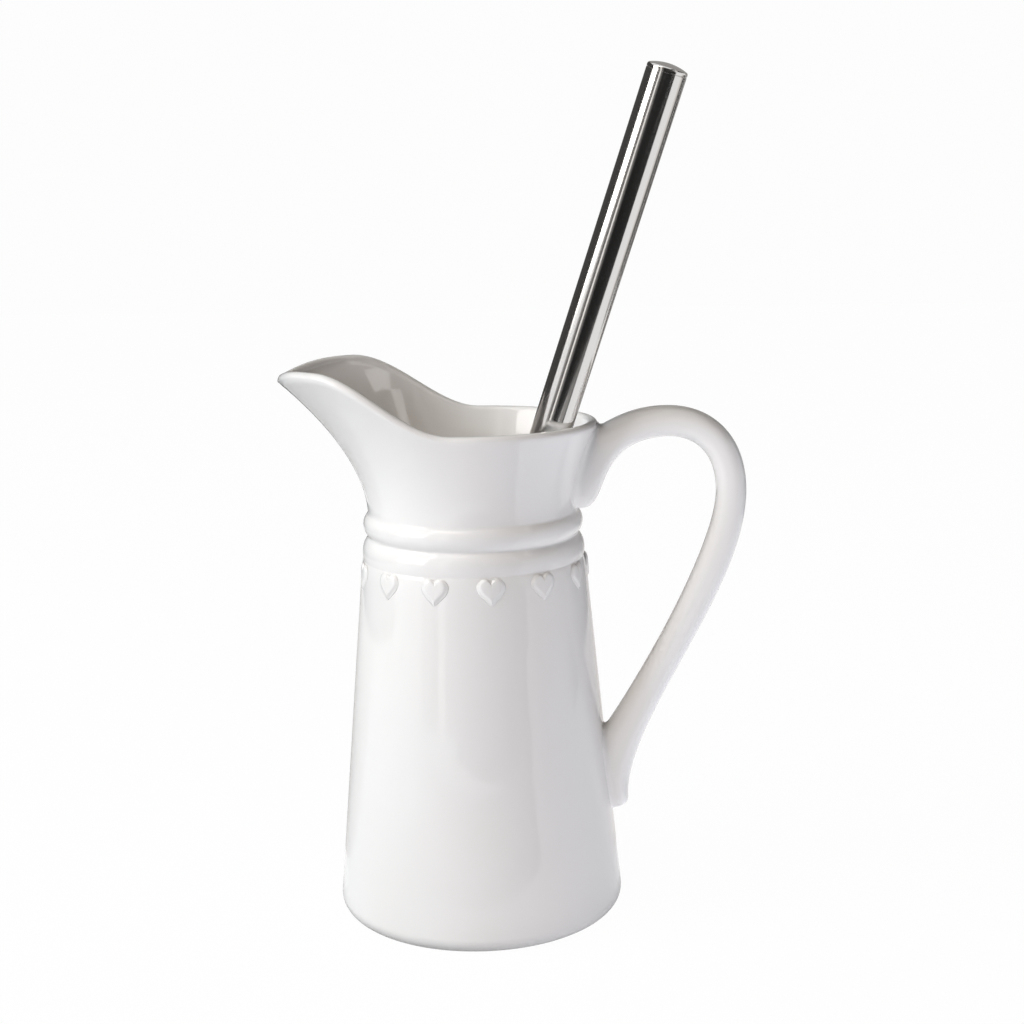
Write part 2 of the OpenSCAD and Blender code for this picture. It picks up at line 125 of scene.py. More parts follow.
class JugSizes(PropertyGroup):
    """Sizes of the jug, its handle and its hearts."""

    base_radius: length("Base radius", "Cone's radius over the foot", JUG_HIGH.y / MM)
    foot_rounding: length("Foot rounding", "Rounding of the foot's edge", 7)
    foot_ring: length("Foot ring", "Width of the bare ring underneath", 5)
    foot_recess: length("Foot recess", "Depth of the recess in that ring", 1.2)
    shoulder_height: length("Shoulder height", "Height of the crease under the beads", 170.9)
    shoulder_radius: length("Shoulder radius", "Cone's radius at that crease", 52.6)
    wall: length("Wall", "Thickness of body, neck and lip", 5)
    floor: length("Floor", "Thickness of the floor", 7)
    floor_rounding: length("Floor rounding", "Rounding round the floor, inside", 8)
    neck_radius: length("Neck radius", "Radius of the narrowest neck", 49.2)
    band_height: length("Band height", "Height from crease to narrowest neck", 22.3)
    lower_bead: length("Lower bead", "Lower bead's projection from the neck", 3)
    upper_bead: length("Upper bead", "Upper bead's projection from the neck", 2.3)
    groove: length("Groove", "Projection of the groove between them", -0.1)
    crease: length("Crease", "Depth of the crease", 0.8)
    rim_rise: length("Rim rise", "Rim's height over the narrowest neck", 42.1)
    mouth_half_width: length("Mouth half width", "Half width across the spout", 56)
    rim_reach: length("Rim reach", "Rim's reach towards the handle", 59)
    spout_reach: length("Spout reach", "Spout's reach from the axis", -JUG_LOW.x / MM)
    spout_rise: length("Spout rise", "Rise of the spout's lip over the rim", 27.1)
    tip_droop: length("Tip droop", "Drop of the tip from the highest lip", 4.7)
    tip_swell: length("Tip swell", "Extra height of the lip's round there", 1.1)
    climb_start: length("Climb start", "Where the lip starts to climb", 2.8)
    climb_run: length("Climb run", "Length of that climb", 63.5)
    handle_reach: length("Handle reach", "Handle's reach from the axis", HANDLE_HIGH.x / MM)
    handle_top: length("Handle top", "Height of the handle's top", HANDLE_HIGH.z / MM)
    handle_drop: length("Handle drop", "Drop from rim to widest point", 33.2)
    loop_top: length("Loop top", "Loop's top from the axis", 91)
    handle_thickness: length("Handle thickness", "Thickness in the loop's plane", 14)
    handle_width: length("Handle width", "Width across the loop", 18)
    root_width: length("Root width", "Handle's width at the neck", 25)
    tail_low: length("Tail", "Height of the tail's lower end", 47)
    tail_proud: length("Tail projection", "Tail's projection from the cone", 8.2)
    tail_rounding: length("Tail rounding", "Length of the tail's round end", 5.5)
    corner_up: length("Corner height", "Loop's corner over the tail's end", 37)
    joint_fillet: length("Joint fillet", "Slip smoothed round the handle", 3.2)
    heart_count: count("Hearts", "Hearts round the jug", 13)
    heart_width: length("Heart width", "Width of a heart", 10.8)
    heart_height: length("Heart height", "Height of a heart", 11.6)
    heart_relief: length("Heart relief", "Relief of a heart", 1.0)
    heart_drop: length("Heart drop", "Drop of the lobes below the crease", -0.6)
    heart_turn: angle("First heart", "First heart's angle from the handle", 8)


class BrushSizes(PropertyGroup):
    """Sizes of the brush along its own axis, measured from the lower face of the plug's collar."""

    tube_radius: length("Tube radius", "Outer radius of the tube", 9)
    tube_wall: length("Tube wall", "Wall of the tube", 0.8)
    tube_length: length("Tube length", "Length of the tube", 314)
    cap_height: length("Cap height", "Height of the domed cap", 3.6)
    cap_spigot: length("Cap spigot", "Cap's length in the tube", 12)
    plug_spigot: length("Plug spigot", "Plug's length in the tube", 20)
    collar: length("Collar", "Thickness of the plug's collar", 3)
    stud_radius: length("Stud radius", "Outer radius of the thread", 4)
    stud_hold: length("Stud hold", "Stud on each side of the collar's face", 12)
    thread_pitch: length("Thread pitch", "Thread's advance in one turn", 1.25)
    seat: length("Seat", "Clearance from collar to socket", 0.2)
    socket: length("Socket", "Socket's height over the splash disc", 15)
    disc: length("Splash disc", "Thickness of the splash disc", 3)
    disc_radius: length("Splash disc radius", "Radius of the splash disc", 22)
    disc_gap: length("Disc gap", "Gap from disc to bristles", 1.5)
    core_radius: length("Core radius", "Radius under the bristles", 13)
    head_radius: length("Head radius", "Radius over the bristles", 33)
    head_straight: length("Head straight", "Straight length over the round end", 32)
    tuft_rows: count("Tuft rows", "Rows of tufts along the head", 15)
    tuft_columns: count("Tufts in a row", "Tufts round the head", 24)
    tuft_strands: count("Strands", "Strands in each tuft", 10)
    strand_radius: length("Strand radius", "Radius of a nylon strand", 0.3)


class Finishes(PropertyGroup):
    """Colours of the materials."""

    glaze: colour("Glaze", "Tin white of the glaze", 0.89, 0.874, 0.845)
    glaze_thin: colour("Thin glaze", "Glaze where it has run thin", 0.87, 0.846, 0.805)
    biscuit: colour("Biscuit", "Bare clay of the foot ring", 0.72, 0.63, 0.52)
    steel: colour("Steel", "Polished stainless steel", 0.73, 0.718, 0.706)
    plug: colour("Plug", "Dark plastic of the plug", 0.045, 0.045, 0.05)
    zinc: colour("Zinc", "Zinc plate of the stud", 0.55, 0.55, 0.56)
    core: colour("Core", "White plastic of the core", 0.80, 0.80, 0.79)
    nylon: colour("Nylon", "White nylon of the bristles", 0.84, 0.84, 0.83)


class StageSettings(PropertyGroup):
    """Light of the studio."""

    ambient: colour("Ambient", "Light from all round", 0.03, 0.03, 0.033)
    key_power: amount("Key power", "Watts of the lamp on the left", 44.0)
    key_tint: colour("Key tint", "Colour of the lamp on the left", 0.86, 0.92, 1.0)
    front_power: amount("Front power", "Watts of the lamp over the camera", 19.0)
    front_tint: colour("Front tint", "Colour of the lamp over the camera", 1.0, 0.91, 0.82)
    floor_power: amount("Floor light", "Strength of the floor's light", 2.1)
    floor_tint: colour("Floor tint", "Colour of the floor's light", 0.88, 0.9, 1.0)
    floor_white: amount("Floor white", "Share of plain white in the floor", 0.98)


# Curves and profiles

def mix(a, b, share):
    """The value at a share of the way from a to b."""
    return a + (b - a) * share


def clamp(value):
    """The value held between 0 and 1."""
    return min(1.0, max(0.0, value))


def smooth(share):
    """An S-curve from 0 to 1."""
    return share * share * (3 - 2 * share)


def shares(steps):
    """Even shares from 0 to 1, both ends included."""
    return [step / steps for step in range(steps + 1)]


def bezier(points, t):
    """A point, or a number, on a cubic curve."""
    a, b, c, d = points
    s = 1 - t
    return a * s ** 3 + b * (3 * s * s * t) + c * (3 * s * t * t) + d * t ** 3


def arc(centre, radius, start, end, steps):
    """Points of an arc in the plane of radius and height; angles in degrees."""
    turns = [radians(mix(start, end, share)) for share in shares(steps)]
    return [Vector(centre) + radius * Vector((cos(turn), sin(turn))) for turn in turns]


def flank(low, high, bend, steps):
    """A line between two heights with a bend of its own, without its first point."""
    return [Vector((mix(low.x, high.x, bend(share)), mix(low.y, high.y, share)))
            for share in shares(steps)[1:]]


def relaxed(points):
    """The line with its corners softened, and its ends kept."""
    inner = [(a + 2 * b + c) / 4 for a, b, c in zip(points, points[1:], points[2:])]
    return [points[0], *inner, points[-1]]


def around(turn, radius, height):
    """A point at a turn round the upright axis."""
    return Vector((radius * cos(turn), radius * sin(turn), height))


# Mesh tools

MERGE = 0.001 * MM


class RingStack:
    """Quads grown ring by ring; each vertex keeps its turn round the ring."""

    def __init__(self, columns, point_at):
        self.mesh = bmesh.new()
        self.turn = self.mesh.verts.layers.float.new("turn")
        self.ring = bmesh.ops.create_circle(self.mesh, segments=columns, radius=1.0)["verts"]
        for vert in self.ring:
            vert[self.turn] = atan2(vert.co.y, vert.co.x)
        self.edges = list(self.mesh.edges)
        self.first = list(self.ring)
        self.place(point_at)

    def place(self, point_at):
        """Moves the last ring to its points."""
        for vert in self.ring:
            vert.co = point_at(vert[self.turn])

    def grow(self, point_at):
        """Extrudes the last ring to new points."""
        grown = bmesh.ops.extrude_edge_only(self.mesh, edges=self.edges)["geom"]
        self.ring = [item for item in grown if isinstance(item, bmesh.types.BMVert)]
        rim = set(self.ring)
        self.edges = [item for item in grown
                      if isinstance(item, bmesh.types.BMEdge) and rim.issuperset(item.verts)]
        self.place(point_at)

    def grow_circles(self, profile):
        """Grows a level circle for each radius and height."""
        for radius, height in profile:
            self.grow(circle_at(radius, height))

    def close(self, start, end):
        """Closes the first and the last ring in a point each."""
        bmesh.ops.pointmerge(self.mesh, verts=self.first, merge_co=start)
        bmesh.ops.pointmerge(self.mesh, verts=self.ring, merge_co=end)


def circle_at(radius, height):
    """Points of a level circle by their turn."""
    return lambda turn: around(turn, radius, height)


def turned(profile, columns, loop=False):
    """A form turned from points of radius and height; loop closes the profile."""
    bm = bmesh.new()
    verts = [bm.verts.new((radius, 0, height)) for radius, height in profile]
    ends = verts[1:] + verts[:1] if loop else verts[1:]
    edges = [bm.edges.new(pair) for pair in zip(verts, ends)]
    bmesh.ops.spin(bm, geom=verts + edges, cent=(0, 0, 0), axis=UP, angle=FULL_TURN,
                   steps=columns, use_merge=True)
    bmesh.ops.remove_doubles(bm, verts=bm.verts, dist=MERGE)
    return bm


def on_brush(bm):
    """Moves a form from the Z axis to the brush's, with zero at the collar's face."""
    tilt = UP.rotation_difference(BRUSH_AXIS).to_matrix().to_4x4()
    bmesh.ops.transform(bm, matrix=Matrix.Translation(COLLAR_AT) @ tilt, verts=bm.verts)
    return bm


def to_mesh(bm, name):
    """Turns a form into a mesh."""
    mesh = bpy.data.meshes.new(name)
    bm.to_mesh(mesh)
    bm.free()
    return mesh


def join(bm, other):
    """Adds another form's geometry to a form."""
    mesh = to_mesh(other, "joined")
    bm.from_mesh(mesh)
    bpy.data.meshes.remove(mesh)
    return bm


def finish_piece(bm, name, material, body, nodes, crisp=None):
    """Makes a closed form into a piece that rides on a body and stands for its nodes."""
    bmesh.ops.recalc_face_normals(bm, faces=bm.faces)
    if any(not edge.is_manifold for edge in bm.edges):
        raise RuntimeError(f"{name} has open or crossed edges")
    mesh = to_mesh(bm, name)
    mesh.shade_smooth()
    if crisp is not None:
        mesh.set_sharp_from_angle(angle=radians(crisp))
    mesh.materials.append(material)
    piece = bpy.data.objects.new(name, mesh)
    bpy.context.scene.collection.objects.link(piece)
    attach(piece, body)
    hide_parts(*nodes)
    return piece


# Shape of the jug

JUG_COLUMNS = 176
FLARE_ROWS = 30
LIP_ROWS = 7
# How full a bead stays before it falls into a groove
BEAD_FULL = 2.1
# Heights of the lower crest, the groove and the upper crest in the band, as shares
LOWER_CREST = 0.2
GROOVE_AT = 0.52
UPPER_CREST = 0.77
# Share of the band's height over which the inside turns into the cone, above and below the crease
INSIDE_EASE = 0.3
# The spout's plan: how full its sides are and how pointed its tip is
SPOUT_FULL = 3.8
SPOUT_POINT = 0.75
# The flare: shares of its reach and of its rise at the curve's four points
FLARE_OUT = (0, 0, 0.3, 1)
FLARE_UP = (0, 0.26, 0.61, 1)


def neck_height(jug):
    """Height of the narrowest neck."""
    return jug.shoulder_height + jug.band_height


def rim_height(jug):
    """Height of the rim, away from the spout."""
    return neck_height(jug) + jug.rim_rise


def cone_slope(jug):
    """How much the cone's radius falls for each unit of height."""
    return (jug.base_radius - jug.shoulder_radius) / (jug.shoulder_height - jug.foot_rounding)


def cone_radius(jug, height):
    """Radius of the cone's outside at a height."""
    return jug.base_radius - cone_slope(jug) * (height - jug.foot_rounding)


def to_groove(share):
    """A bead's fall from its crest into a sharp groove."""
    return share ** BEAD_FULL


def from_groove(share):
    """A bead's rise from a sharp groove to its crest."""
    return 1 - (1 - share) ** BEAD_FULL


def outer_profile(jug):
    """The turned outside, from foot to neck."""
    lean = degrees(atan(cone_slope(jug)))
    foot_centre = (jug.base_radius - jug.foot_rounding, jug.foot_rounding)
    foot = arc(foot_centre, jug.foot_rounding, -90, lean, steps=14)
    heights = [mix(foot[-1].y, jug.shoulder_height, share) for share in shares(30)[1:]]
    cone = [Vector((cone_radius(jug, height), height)) for height in heights]
    band = [Vector((jug.shoulder_radius - jug.crease, jug.shoulder_height + jug.crease / 2))]
    crests = ((jug.lower_bead, LOWER_CREST, from_groove), (jug.groove, GROOVE_AT, to_groove),
              (jug.upper_bead, UPPER_CREST, from_groove), (0, 1, to_groove))
    for proud, share, bend in crests:
        crest = Vector((jug.neck_radius + proud, jug.shoulder_height + jug.band_height * share))
        band += flank(band[-1], crest, bend, steps=10)
    return foot + cone[:-2] + relaxed(cone[-2:] + band)


def inner_profile(jug):
    """The turned inside, from neck to floor."""
    ease = jug.band_height * INSIDE_EASE
    top = Vector((jug.neck_radius - jug.wall, neck_height(jug)))
    upper = Vector((top.x, jug.shoulder_height + ease))
    lower_z = jug.shoulder_height - ease
    lower = Vector((cone_radius(jug, lower_z) - jug.wall, lower_z))
    turn_z = jug.floor + jug.floor_rounding
    turn_x = cone_radius(jug, turn_z) - jug.wall - jug.floor_rounding
    lean = degrees(atan(cone_slope(jug)))
    corner = arc((turn_x, turn_z), jug.floor_rounding, lean, -90, steps=10)
    throat = [mix(top, upper, share) for share in shares(4)]
    cone = [mix(lower, corner[0], share) for share in shares(24)[1:-1]]
    return throat + flank(upper, lower, smooth, steps=8) + cone + corner


def lip_plan(jug, turn, inset):
    """Plan of the lip's edge, moved in by an inset."""
    across = jug.mouth_half_width - inset
    if cos(turn) >= 0:
        return Vector(((jug.rim_reach - inset) * cos(turn), across * sin(turn)))
    point = (1 - (-cos(turn)) ** SPOUT_FULL) ** SPOUT_POINT
    out = (jug.spout_reach - inset) * cos(turn)
    return Vector((out, across * copysign(point, sin(turn))))


def past_climb(jug, x):
    """Share of the way from the climb's end to the spout's tip."""
    crest = jug.climb_start + jug.climb_run
    return clamp((-x - crest) / (jug.spout_reach - crest))


def lip_height(jug, x):
    """Height of the lip's crest over a place along the spout."""
    climb = clamp((-x - jug.climb_start) / jug.climb_run)
    return rim_height(jug) + jug.spout_rise * smooth(climb) - jug.tip_droop * past_climb(jug, x) ** 3


def lip_half(jug, x):
    """Half the height of the lip's round, which swells towards the tip."""
    return jug.wall / 2 + jug.tip_swell * smooth(past_climb(jug, x))


def flare_at(jug, inset, t):
    """Points of the flare by their turn, from neck (t = 0) to lip (t = 1)."""
    out = bezier(FLARE_OUT, t)
    up = bezier(FLARE_UP, t)
    neck = neck_height(jug)

    def point_at(turn):
        low = (jug.neck_radius - inset) * Vector((cos(turn), sin(turn)))
        plan = mix(low, lip_plan(jug, turn, inset), out)
        along = lip_plan(jug, turn, 0).x
        rise = lip_height(jug, along) - lip_half(jug, along) - neck
        return Vector((plan.x, plan.y, neck + rise * up))
    return point_at


def lip_at(jug, tilt):
    """Points of the lip's round by their turn, from its outer to its inner edge."""
    outer = flare_at(jug, 0, 1)
    inner = flare_at(jug, jug.wall, 1)

    def point_at(turn):
        middle = (outer(turn) + inner(turn)) / 2
        height = lip_half(jug, lip_plan(jug, turn, 0).x) * sin(tilt)
        return middle + (outer(turn) - middle) * cos(tilt) + UP * height
    return point_at


def outer_shell(jug):
    """The jug's outside, from the foot's recess up to the lip's crest."""
    ring_in = jug.base_radius - jug.foot_rounding - jug.foot_ring
    deep = jug.foot_recess
    stack = RingStack(JUG_COLUMNS, circle_at(ring_in - 2 * deep, deep))
    stack.grow_circles([(ring_in - deep / 2, deep * 0.7), (ring_in, 0)])
    stack.grow_circles(outer_profile(jug))
    for t in shares(FLARE_ROWS)[1:]:
        stack.grow(flare_at(jug, 0, t))
    for share in shares(LIP_ROWS)[1:]:
        stack.grow(lip_at(jug, pi / 2 * share))
    return stack


def jug_form(jug):
    """The whole body: outside, lip, inside and floor."""
    stack = outer_shell(jug)
    for share in shares(LIP_ROWS)[1:]:
        stack.grow(lip_at(jug, pi / 2 * (1 + share)))
    for t in reversed(shares(FLARE_ROWS)[1:-1]):
        stack.grow(flare_at(jug, jug.wall, t))
    inside = inner_profile(jug)
    stack.grow_circles(inside)
    stack.grow_circles((inside[-1].x * share, jug.floor) for share in (0.75, 0.5, 0.25))
    stack.close(UP * jug.foot_recess, UP * jug.floor)
    return stack.mesh


# Handle

HANDLE_COLUMNS = 96
# How square the tail's end and the handle's section are
TAIL_FULL = 2.4
SECTION_FULL = 2.4
# Offsets of the control points of the handle's lines, in millimetres, from where they start or end
ROOT_TOP_FROM = Vector((16, 11.2)) * MM
ROOT_TOP_TO = Vector((17, 0)) * MM
ROOT_UNDER_FROM = Vector((20.8, -6.1)) * MM
ROOT_UNDER_TO = Vector((38.7, 2.6)) * MM
BEND_FROM = Vector((18.3, 0)) * MM
BEND_TO = Vector((0, 20)) * MM
FALL_OUT_FROM = Vector((0, 48.4)) * MM
FALL_OUT_TO = Vector((-1.5, 39.3)) * MM
FALL_IN_FROM = Vector((0, 29.3)) * MM
FALL_IN_TO = Vector((10.5, 13.4)) * MM
# Depth of the root's upper line under the loop's top, and rise of its lower line over the neck
ROOT_DEEP = 17.8 * MM
ROOT_OVER = 1.4 * MM
# Slip at the joints: share wiped away below, feathered depth as a share, and least slope that takes any
WIPED_BELOW = 0.85
FEATHER = 0.015
LEAST_SLOPE = 0.05
# Share of the wall that the handle reaches into
ROOT_SINK = 0.45


def in_wall(jug, height):
    """The middle of the cone's wall at a height."""
    return Vector((cone_radius(jug, height) - jug.wall / 2, height))


def root_stations(jug, top, across):
    """Sections from neck to loop's top, closest together at the neck."""
    root_x = jug.neck_radius - jug.wall / 2
    high = Vector((root_x, top.y - ROOT_DEEP))
    low = Vector((root_x, neck_height(jug) + ROOT_OVER))
    over = (high, high + ROOT_TOP_FROM, top - ROOT_TOP_TO, top)
    under = (low, low + ROOT_UNDER_FROM, top - across - ROOT_UNDER_TO, top - across)
    for share in shares(54)[:-1]:
        t = share ** 1.4
        width = mix(jug.handle_width, jug.root_width, (1 - t) ** 3)
        yield bezier(under, t), bezier(over, t), width / 2


def bend_stations(jug, top, side):
    """Sections of even thickness round the loop's bend."""
    line = (top, top + BEND_FROM, side + BEND_TO, side)
    step = 0.01
    for t in shares(28)[:-1]:
        ahead = bezier(line, min(1, t + step)) - bezier(line, max(0, t - step))
        off = Vector((-ahead.y, ahead.x)).normalized() * jug.handle_thickness / 2
        yield bezier(line, t) - off, bezier(line, t) + off, jug.handle_width / 2


def fall_stations(jug, side, across):
    """Sections from the widest point down to the tail's blunt end."""
    end = jug.tail_low + jug.tail_rounding
    tail = Vector((cone_radius(jug, end) + jug.tail_proud, end))
    corner = in_wall(jug, jug.tail_low + jug.corner_up)
    outside = (side, side - FALL_OUT_FROM, tail + FALL_OUT_TO, tail)
    inside = (side - across, side - across - FALL_IN_FROM, corner + FALL_IN_TO, corner)
    for t in shares(80):
        yield bezier(inside, t), bezier(outside, t), jug.handle_width / 2
    for share in shares(20)[1:]:
        turn = radians(88) * share
        size = cos(turn) ** (2 / TAIL_FULL)
        drop = sin(turn) ** (2 / TAIL_FULL)
        inner = in_wall(jug, mix(corner.y, jug.tail_low, share))
        outer = Vector((mix(inner.x, tail.x, size), end - jug.tail_rounding * drop))
        yield inner, outer, jug.handle_width / 2 * size


def handle_stations(jug):
    """Inner and outer point and half width of each section, root to tail."""
    top = Vector((jug.loop_top, jug.handle_top))
    side = Vector((jug.handle_reach, rim_height(jug) - jug.handle_drop))
    down = Vector((0, jug.handle_thickness))
    inward = Vector((jug.handle_thickness, 0))
    return [*root_stations(jug, top, down), *bend_stations(jug, top - down / 2, side - inward / 2),
            *fall_stations(jug, side, inward)]


def section_at(inner, outer, half_width):
    """Points of a section by their turn."""
    def squared(value):
        return copysign(abs(value) ** (2 / SECTION_FULL), value)

    def point_at(turn):
        point = (inner + outer) / 2 + (outer - inner) / 2 * squared(cos(turn))
        return Vector((point.x, half_width * squared(sin(turn)), point.y))
    return point_at


def soften_joint(bm, jug, fillet, sink):
    """Flares a piece on to the jug, as smoothed slip does, and keeps its root in the wall."""
    shell = outer_shell(jug).mesh
    bmesh.ops.recalc_face_normals(shell, faces=shell.faces)
    tree = BVHTree.FromBMesh(shell)
    shell.free()
    outermost = tree.find_nearest(Vector((1, 0, jug.shoulder_height / 2)))
    facing = copysign(1, outermost[1].x)
    under = fillet * FEATHER
    bmesh.ops.recalc_face_normals(bm, faces=bm.faces)
    bm.normal_update()
    moves = []
    for vert in bm.verts:
        place, normal, _, _ = tree.find_nearest(vert.co)
        normal = normal * facing
        gap = (vert.co - place).dot(normal)
        share = clamp((gap + under) / (fillet + under))
        side = vert.normal - normal * vert.normal.dot(normal)
        target = vert.co.copy()
        if share < 1 and side.length > LEAST_SLOPE:
            side.normalize()
            slip = fillet * (1 - WIPED_BELOW * max(0, -side.z))
            target += side * slip * (1 - sqrt(1 - (1 - share) ** 2))
        if gap < -sink:
            target += normal * (-sink - gap)
        moves.append((vert, target))
    for vert, target in moves:
        vert.co = target


def handle_form(jug):
    """The handle, swept from neck to cone."""
    stations = handle_stations(jug)
    stack = RingStack(HANDLE_COLUMNS, section_at(*stations[0]))
    for station in stations[1:]:
        stack.grow(section_at(*station))
    ends = [(stations[end][0] + stations[end][1]) / 2 for end in (0, -1)]
    stack.close(*[Vector((end.x, 0, end.y)) for end in ends])
    soften_joint(stack.mesh, jug, jug.joint_fillet, jug.wall * ROOT_SINK)
    return stack.mesh


# Hearts

HEART_COLUMNS = 96
# Height of the outline's formula in its own units, and how much a filled notch widens it
HEART_UNITS = 28.9
HEART_WIDEN = 0.33
# Rings of a heart from its feathered edge to its crown: spread, relief, and how far glaze fills its notch
PILLOW = ((1.2, -0.2, 0.5), (1.18, 0.0, 0.5), (1.12, 0.06, 0.42), (1.06, 0.17, 0.34), (1.0, 0.34, 0.27),
          (0.95, 0.52, 0.22), (0.9, 0.68, 0.19), (0.83, 0.81, 0.18), (0.73, 0.91, 0.2), (0.58, 0.97, 0.28),
          (0.35, 1.0, 0.45))
# Points that close a heart: its root in the wall and its crown
HEART_ROOT = (0, -0.5, 0)
HEART_CROWN = (0, 1, 0)


def heart_at(jug, spread, relief, fill):
    """Points of a heart's outline by their turn, laid on the cone."""
    middle = jug.shoulder_height - jug.heart_drop - jug.heart_height / 2
    half = jug.heart_width / 2 * (1 + HEART_WIDEN * fill)
    unit = jug.heart_height / HEART_UNITS
    sharp = 1 - fill

    def point_at(turn):
        side = half * (0.75 * sin(turn) - 0.25 * sharp * sin(3 * turn))
        curve = 5 * cos(2 * turn) + 2 * cos(3 * turn) + cos(4 * turn) - 2.5
        height = middle + unit * (13 * cos(turn) - sharp * curve) * spread
        radius = cone_radius(jug, height) + relief * jug.heart_relief
        return around(side * spread / cone_radius(jug, middle), radius, height)
    return point_at


def heart_form(jug):
    """One heart, in line with the handle."""
    stack = RingStack(HEART_COLUMNS, heart_at(jug, *PILLOW[0]))
    for ring in PILLOW[1:]:
        stack.grow(heart_at(jug, *ring))
    stack.close(heart_at(jug, *HEART_ROOT)(0), heart_at(jug, *HEART_CROWN)(0))
    return stack.mesh


def hearts_form(jug):
    """The row of hearts, evenly spaced round the jug."""
    hearts = bmesh.new()
    for number in range(jug.heart_count):
        turn = Matrix.Rotation(jug.heart_turn + FULL_TURN * number / jug.heart_count, 3, "Z")
        heart = heart_form(jug)
        bmesh.ops.rotate(heart, cent=(0, 0, 0), matrix=turn, verts=heart.verts)
        join(hearts, heart)
    return hearts


# Brush

# Clearance of what is pressed into the tube
PRESS_FIT = 0.05 * MM


def tube_form(brush):
    """The steel tube, with its edges just broken."""
    edge = brush.tube_wall * 0.3
    outer = brush.tube_radius
    inner = outer - brush.tube_wall
    low = brush.collar
    high = low + brush.tube_length
    side = [(outer, mix(low + edge, high - edge, share)) for share in shares(24)]
    return turned([(inner, low), (outer - edge, low), *side, (outer - edge, high), (inner, high)],
                  columns=112, loop=True)


def cap_form(brush):
    """The cap: an upright side over a fine seam, a rounded edge, a dome and a spigot."""
    outer = brush.tube_radius
    bore = outer - brush.tube_wall - PRESS_FIT
    base = brush.collar + brush.tube_length
    foot = base - brush.cap_spigot
    top = base + brush.cap_height
    seam = 0.15 * MM
    side = brush.cap_height * 0.26
    edge = brush.cap_height * 0.34
    rise = brush.cap_height - side
    flat = outer - edge
    # The dome is the sphere that touches the rounded edge
    dome = (flat * flat + rise * rise - edge * edge) / (2 * (rise - edge))
    lean = degrees(atan2(dome - rise, flat))
    crown = arc((0, top - dome), dome, lean, 90, steps=14)
    return turned([(0, foot), (bore, foot), (bore, base + seam), (outer - seam, base + seam),
                   (outer, base + 2 * seam), *arc((flat, base + side), edge, 0, lean, steps=8),
                   *crown[1:-1], (0, top)], columns=112)


def plug_form(brush):
    """The plug: a collar flush with the tube and a spigot inside it."""
    edge = 0.4 * MM
    flat = brush.tube_radius - edge
    inner = brush.tube_radius - brush.tube_wall - PRESS_FIT
    top = brush.collar + brush.plug_spigot
    return turned([(0, brush.stud_hold), (brush.stud_radius, brush.stud_hold), (brush.stud_radius, 0),
                   *arc((flat, edge), edge, -90, 0, steps=5),
                   *arc((flat, brush.collar - edge), edge, 0, 90, steps=5), (inner, brush.collar),
                   (inner, top - edge), (inner - edge, top), (0, top)], columns=96)


def stud_form(brush):
    """The stud: a turned core with chamfered ends and a helical thread."""
    pitch = brush.thread_pitch
    crest = brush.stud_radius
    root = crest - 0.61 * pitch
    sunk = root - 0.1 * MM
    chamfer = pitch * 0.5
    high = brush.stud_hold
    low = -high
    bm = turned([(0, low), (root - chamfer, low), (root, low + chamfer), (root, high - chamfer),
                 (root - chamfer, high), (0, high)], columns=48)
    per_turn = 28
    turns = int((high - low - 2 * chamfer) / pitch) - 1
    foot = low + chamfer + pitch / 2
    # A tooth's corners: radius, and height in shares of the pitch
    tooth = ((sunk, -0.46), (crest, -0.07), (crest, 0.07), (sunk, 0.46))
    thread = bmesh.new()
    verts = [thread.verts.new((radius, 0, foot + share * pitch)) for radius, share in tooth]
    edges = list(thread.faces.new(verts).edges)
    last = bmesh.ops.spin(
        thread, geom=verts + edges, cent=(0, 0, 0), axis=UP, angle=FULL_TURN * turns,
        dvec=UP * pitch / per_turn, steps=per_turn * turns)["geom_last"]
    ends = [item for item in last if isinstance(item, bmesh.types.BMEdge)]
    bmesh.ops.contextual_create(thread, geom=ends)
    return join(bm, thread)


def core_places(brush):
    """Heights of the splash disc's top and foot, and of the round end's centre."""
    disc_top = -brush.seat - brush.socket
    disc_low = disc_top - brush.disc
    return disc_top, disc_low, disc_low - brush.disc_gap - brush.head_straight


def core_form(brush):
    """The core: a round-ended carrier, a splash disc and a socket with the stud's hole."""
    disc_top, disc_low, centre = core_places(brush)
    radius = brush.core_radius
    edge = 0.6 * MM
    fillet = 3 * MM
    swell = radius + 1 * MM
    top = -brush.seat
    deep = top - brush.stud_hold
    hole = brush.stud_radius + 0.06 * MM
    neck = brush.tube_radius + 1.5 * MM - edge
    rim = brush.disc_radius - edge
    return turned([
        *arc((0, centre), radius, -90, 0, steps=14)[:-1], (radius, centre),
        (radius, disc_low - edge), (radius + edge, disc_low),
        *arc((rim, disc_low + edge), edge, -90, 0, steps=4),
        *arc((rim, disc_top - edge), edge, 0, 90, steps=4),
        *arc((swell + fillet, disc_top + fillet), fillet, -90, -170, steps=6),
        *arc((neck, top - edge), edge, 0, 90, steps=4),
        (hole, top), (hole, deep), (0, deep)], columns=80)


def strand_form(brush, draw):
    """One strand along +Z, a little bent, from the core's surface to the head's."""
    thick = brush.strand_radius
    reach = brush.head_radius - brush.core_radius
    spread = Vector((draw.uniform(-1, 1), draw.uniform(-1, 1), 0))
    root = spread * 0.55 * MM
    tip = spread * 3.4 * MM + UP * (reach - draw.uniform(0, 0.9) * MM)
    bow = Vector((draw.uniform(-1, 1), draw.uniform(-1, 1), 0)) * 0.7 * MM

    def ring_at(centre, radius):
        return lambda turn: centre + around(turn, radius, 0)
    stack = RingStack(3, ring_at(root - UP * 1.2 * MM, thick))
    stack.grow(ring_at(mix(root, tip, 0.5) + bow, thick))
    stack.grow(ring_at(tip, thick * 0.75))
    stack.close(root - UP * 1.4 * MM, tip + UP * thick * 0.4)
    return stack.mesh


